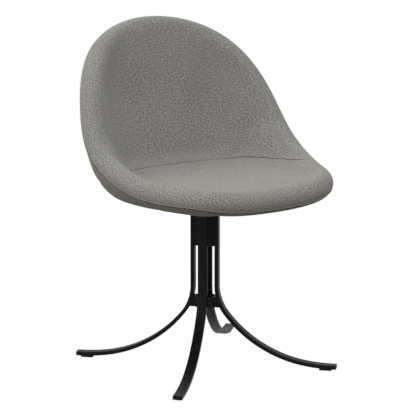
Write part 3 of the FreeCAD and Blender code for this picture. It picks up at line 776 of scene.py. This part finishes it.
def melangeGroup():
    # flecked wool yarns in a plain weave, laid out on the cloth's own coordinates, with painted shade in the
    # sewn folds
    floats = "NodeSocketFloat"
    tree, given, result = newGroup("melangeWeave", [
        ("Light Yarn", "NodeSocketColor", (0.5, 0.5, 0.5, 1)),
        ("Dark Yarn", "NodeSocketColor", (0.1, 0.1, 0.1, 1)),
        ("Brown Yarn", "NodeSocketColor", (0.2, 0.15, 0.1, 1)),
        ("Yarns Per Metre", floats, 700.0),
        ("Flecks Per Metre", floats, 480.0),
        ("Fleck Contrast", floats, 1.8),
        ("Fold Shade", floats, 0.0),
    ], [("Color", "NodeSocketColor"), ("Height", floats), ("Roughness", floats)])

    def add(first, second):
        return mathNode(tree, "ADD", first, second)

    def times(first, second):
        return mathNode(tree, "MULTIPLY", first, second)

    def less(first, second):
        return mathNode(tree, "SUBTRACT", first, second)

    link = tree.links.new
    coordinates = tree.nodes.new("ShaderNodeTexCoord")
    layoutPlace, space = coordinates.outputs["UV"], coordinates.outputs["Object"]
    along = tree.nodes.new("ShaderNodeMapping")
    along.inputs["Scale"].default_value = melange["stretch"]
    link(layoutPlace, along.inputs["Vector"])
    yarns = along.outputs["Vector"]
    parts = tree.nodes.new("ShaderNodeSeparateXYZ")
    link(layoutPlace, parts.inputs[0])
    waves = []
    for axis in ("X", "Y"):
        turn = times(times(parts.outputs[axis], given.outputs["Yarns Per Metre"]), math.pi)
        waves.append(mathNode(tree, "SINE", turn, 0.0))
    weave = add(times(times(waves[0], waves[1]), 0.5), 0.5)
    perMetre = given.outputs["Flecks Per Metre"]
    flecks = noiseNode(tree, yarns, perMetre, *melange["noise"])
    fine = noiseNode(tree, yarns, times(perMetre, melange["fineScale"]), *melange["noise"])
    broad = noiseNode(tree, space, melange["broadScale"], melange["noise"][0])
    fleckShare, fineShare = melange["fleckShares"]
    blend = less(add(times(flecks, fleckShare), times(fine, fineShare)), 0.5)
    blend = times(times(blend, melange["fleckGain"]), given.outputs["Fleck Contrast"])
    drift = times(less(broad, 0.5), melange["driftShare"])
    dip = times(less(weave, 0.5), melange["weaveShare"])
    share = add(add(add(blend, 0.5), drift), dip)
    tint = mixNode(tree, share, given.outputs["Dark Yarn"], given.outputs["Light Yarn"])
    browns = noiseNode(tree, space, times(perMetre, melange["brownScale"]), melange["brownDetail"])
    browns = times(less(browns, melange["brownFrom"]), melange["brownGain"])
    tint = mixNode(tree, browns, tint, given.outputs["Brown Yarn"])
    # painted shade: the yarn colour turns towards near-black where Fold Shade is high
    deep = times(given.outputs["Fold Shade"], melange["foldShadeStrength"])
    link(mixNode(tree, deep, tint, melange["foldShadeColour"]), result.inputs["Color"])
    link(add(times(weave, melange["relief"]), times(fine, melange["relief"])), result.inputs["Height"])
    least, extra = melange["roughness"]
    link(add(times(flecks, extra), least), result.inputs["Roughness"])
    return tree


mottling = {
    "grainDetail": 3.0,
    "broadScale": 28.0,              # per metre
    "broadNoise": (4.0, 0.6),        # detail and roughness
    "wornFrom": 0.52,                # pointiness at which an edge starts to wear
    "wornGain": 9.0,
}


def mottleGroup():
    # uneven gloss and a fine orange peel, for painted and moulded surfaces
    floats = "NodeSocketFloat"
    tree, given, result = newGroup("mottledFinish", [
        ("Base", "NodeSocketColor", (0.02, 0.02, 0.02, 1)),
        ("Worn", "NodeSocketColor", (0.08, 0.08, 0.08, 1)),
        ("Grain Per Metre", floats, 900.0),
        ("Roughness", floats, 0.45),
        ("Unevenness", floats, 0.12),
        ("Edge Wear", floats, 0.3),
    ], [("Color", "NodeSocketColor"), ("Height", floats), ("Roughness", floats)])
    link = tree.links.new
    space = tree.nodes.new("ShaderNodeTexCoord").outputs["Object"]
    grain = noiseNode(tree, space, given.outputs["Grain Per Metre"], mottling["grainDetail"])
    broad = noiseNode(tree, space, mottling["broadScale"], *mottling["broadNoise"])
    edge = tree.nodes.new("ShaderNodeNewGeometry").outputs["Pointiness"]
    sharp = mathNode(tree, "MULTIPLY", mathNode(tree, "SUBTRACT", edge, mottling["wornFrom"]),
                     mottling["wornGain"])
    rubbed = mathNode(tree, "MULTIPLY", mathNode(tree, "MAXIMUM", sharp, 0.0), broad)
    rubbed = mathNode(tree, "MULTIPLY", rubbed, given.outputs["Edge Wear"])
    link(mixNode(tree, rubbed, given.outputs["Base"], given.outputs["Worn"]), result.inputs["Color"])
    link(grain, result.inputs["Height"])
    shift = mathNode(tree, "MULTIPLY", mathNode(tree, "SUBTRACT", broad, 0.5), given.outputs["Unevenness"])
    link(mathNode(tree, "ADD", given.outputs["Roughness"], shift), result.inputs["Roughness"])
    return tree


def setInputs(node, values):
    for label, value in values.items():
        node.inputs[label].default_value = value


def useGroup(tree, shader, group, values, relief):
    # places a group in a material and joins it to the shader. relief is the bump's strength and depth.
    node = tree.nodes.new("ShaderNodeGroup")
    node.node_tree = group
    setInputs(node, values)
    bump = tree.nodes.new("ShaderNodeBump")
    setInputs(bump, {"Strength": relief[0], "Distance": relief[1]})
    tree.links.new(node.outputs["Height"], bump.inputs["Height"])
    tree.links.new(bump.outputs["Normal"], shader.inputs["Normal"])
    tree.links.new(node.outputs["Color"], shader.inputs["Base Color"])
    tree.links.new(node.outputs["Roughness"], shader.inputs["Roughness"])
    return node


def shade(red, green, blue):
    # a colour as an eye-dropper reads it, 0 to 255
    def linear(value):
        value = value / 255
        return value / 12.92 if value <= 0.04045 else ((value + 0.055) / 1.055) ** 2.4
    return linear(red), linear(green), linear(blue), 1


fabrics = {
    "seatWool": {"Light Yarn": shade(189, 186, 179), "Dark Yarn": shade(84, 81, 75),
                 "Brown Yarn": shade(145, 132, 110)},
    "backWool": {"Light Yarn": shade(188, 187, 183), "Dark Yarn": shade(82, 82, 79),
                 "Brown Yarn": shade(143, 132, 116)},
    # the rear cover is the same wool as the seat, with darker, browner yarns as painted shade for its
    # underside
    "shadedCoverWool": {"Light Yarn": shade(176, 170, 157), "Dark Yarn": shade(84, 78, 68),
                  "Brown Yarn": shade(140, 121, 96)},
}
finishes = {
    "powderCoat": {"Base": shade(11, 11, 11), "Worn": shade(52, 50, 48), "Roughness": 0.46,
                   "Edge Wear": 0.12},
    "glidePlastic": {"Base": shade(26, 26, 27), "Worn": shade(60, 60, 60), "Roughness": 0.6},
    "bearingPlastic": {"Base": shade(205, 203, 196), "Worn": shade(225, 224, 220)},
    "shellPlastic": {"Base": shade(48, 48, 49), "Worn": shade(70, 70, 70), "Roughness": 0.5},
    "zincSteel": {"Base": shade(160, 161, 163), "Worn": shade(200, 200, 202), "Roughness": 0.34},
}
clothShader = {"Sheen Weight": 0.25, "Sheen Roughness": 0.6, "Specular IOR Level": 0.2}
hardShader = {"Specular IOR Level": 0.12}
metalShader = {"Specular IOR Level": 0.5, "Metallic": 1.0}
clothRelief = (0.5, 0.0006)
hardRelief = (0.15, 0.0002)
thread = {
    "tones": (shade(176, 173, 166), shade(222, 219, 212)),
    "fibreScale": 2600.0,            # per metre
    "fibreDetail": 2.0,
    "roughness": 0.7,
}


def makeMaterials():
    weave = melangeGroup()
    mottle = mottleGroup()
    made = {}
    for label, values in fabrics.items():
        made[label], tree, shader = newMaterial(label)
        woven = useGroup(tree, shader, weave, values, clothRelief)
        # reads the painted fold shade that the pads carry
        folds = tree.nodes.new("ShaderNodeAttribute")
        folds.attribute_name = "foldShade"
        tree.links.new(folds.outputs["Fac"], woven.inputs["Fold Shade"])
        setInputs(shader, clothShader)
    for label, values in finishes.items():
        made[label], tree, shader = newMaterial(label)
        useGroup(tree, shader, mottle, values, hardRelief)
        setInputs(shader, metalShader if label == "zincSteel" else hardShader)
    made["seamThread"], tree, shader = newMaterial("seamThread")
    space = tree.nodes.new("ShaderNodeTexCoord").outputs["Object"]
    fibres = noiseNode(tree, space, thread["fibreScale"], thread["fibreDetail"])
    tree.links.new(mixNode(tree, fibres, *thread["tones"]), shader.inputs["Base Color"])
    shader.inputs["Roughness"].default_value = thread["roughness"]
    return made


made = makeMaterials()
stitchRow = makeStitches(made["seamThread"])

wear = {
    "powderCoat": ["leg_front_left", "leg_front_right", "leg_rear_left", "leg_rear_right", "column_tube",
                   "lower_ring", "upper_spacers", "lower_spacers", "plate_boss", "seat_plate"],
    "glidePlastic": ["glide_front_left", "glide_front_right", "glide_rear_left", "glide_rear_right",
                     "tube_plug"],
    "bearingPlastic": ["lower_bush", "upper_bush", "thrust_washer"],
    "shellPlastic": ["seat_shell"],
    "zincSteel": ["glide_screws", "plate_bolts", "bolt_washers", "tee_nuts", "spindle", "retaining_washer",
                  "retaining_ring"],
}
for label, names in wear.items():
    for name in names:
        slots = nodes[name].data.materials
        slots.clear()
        slots.append(made[label])
for piece, label in ((seatPad, "seatWool"), (backPad, "backWool"), (rearPad, "shadedCoverWool")):
    piece.data.materials.append(made[label])
print("materials made")

for piece, node in ((seatPad, "seat_cushion"), (backPad, "back_cushion"), (rearPad, "rear_cover")):
    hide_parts(node)
    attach(piece, "seat")
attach(stitchRow, "seat")


stage = {
    "floorHalf": 30,
    "floorTone": 0.16,
    "floorRoughness": 0.9,
    "floorGlow": 1.09,               # what the camera sees of the floor ...
    "glowShare": 0.9,                # ... over this share, so that a trace of the shadow is left
    "horizonLight": 0.30,
    "zenithLight": 0.76,
    "lampsAim": (0, 0, 0.5),
}
lamps = [
    # name, place, size, power
    ("topSoftbox", (-1.4, -2.0, 2.9), 2.8, 40),
    ("leftSoftbox", (-3.2, 0.9, 2.2), 2.2, 33),
]


def cameraShare(tree):
    # 1 for rays from the camera and for what shows in gloss and glass
    path = tree.nodes.new("ShaderNodeLightPath")
    seen = mathNode(tree, "MAXIMUM", path.outputs["Is Camera Ray"], path.outputs["Is Glossy Ray"])
    return mathNode(tree, "MAXIMUM", seen, path.outputs["Is Transmission Ray"])


def mixShaders(tree, share, first, second, output):
    mix = tree.nodes.new("ShaderNodeMixShader")
    tree.links.new(share, mix.inputs["Fac"])
    tree.links.new(first, mix.inputs[1])
    tree.links.new(second, mix.inputs[2])
    tree.links.new(mix.outputs["Shader"], tree.nodes[output].inputs["Surface"])


def makeFloor():
    half, tone = stage["floorHalf"], stage["floorTone"]
    corners = [(-half, -half, 0), (half, -half, 0), (half, half, 0), (-half, half, 0)]
    mesh = bpy.data.meshes.new("paleFloor")
    mesh.from_pydata(corners, [], [(0, 1, 2, 3)])
    floor = bpy.data.objects.new("paleFloor", mesh)
    scene.collection.objects.link(floor)
    material, tree, shader = newMaterial("paleFloor")
    setInputs(shader, {"Base Color": (tone, tone, tone, 1), "Roughness": stage["floorRoughness"],
                       "Specular IOR Level": 0.0})
    glow = tree.nodes.new("ShaderNodeEmission")
    glow.inputs["Strength"].default_value = stage["floorGlow"]
    share = mathNode(tree, "MULTIPLY", cameraShare(tree), stage["glowShare"])
    mixShaders(tree, share, shader.outputs["BSDF"], glow.outputs["Emission"], "Material Output")
    mesh.materials.append(material)


def makeSky():
    # white to the camera, and a graded light, brightest overhead, to everything else
    world = bpy.data.worlds.new("studio")
    scene.world = world
    world.use_nodes = True
    tree = world.node_tree
    light, seen = tree.nodes["Background"], tree.nodes.new("ShaderNodeBackground")
    for background in (light, seen):
        background.inputs["Color"].default_value = (1, 1, 1, 1)
    sky = tree.nodes.new("ShaderNodeSeparateXYZ")
    tree.links.new(tree.nodes.new("ShaderNodeTexCoord").outputs["Generated"], sky.inputs[0])
    rise = mathNode(tree, "MAXIMUM", sky.outputs["Z"], 0.0)
    rise = mathNode(tree, "MULTIPLY", rise, stage["zenithLight"] - stage["horizonLight"])
    tree.links.new(mathNode(tree, "ADD", rise, stage["horizonLight"]), light.inputs["Strength"])
    lit, white = light.outputs["Background"], seen.outputs["Background"]
    mixShaders(tree, cameraShare(tree), lit, white, "World Output")


def makeLamps():
    for name, place, size, power in lamps:
        lamp = bpy.data.lights.new(name, "AREA")
        lamp.size = size
        lamp.energy = power
        holder = bpy.data.objects.new(name, lamp)
        holder.location = place
        aim = Vector(stage["lampsAim"]) - Vector(place)
        holder.rotation_euler = aim.to_track_quat("-Z", "Y").to_euler()
        scene.collection.objects.link(holder)


makeFloor()
makeSky()
makeLamps()
print("stage and lights set")
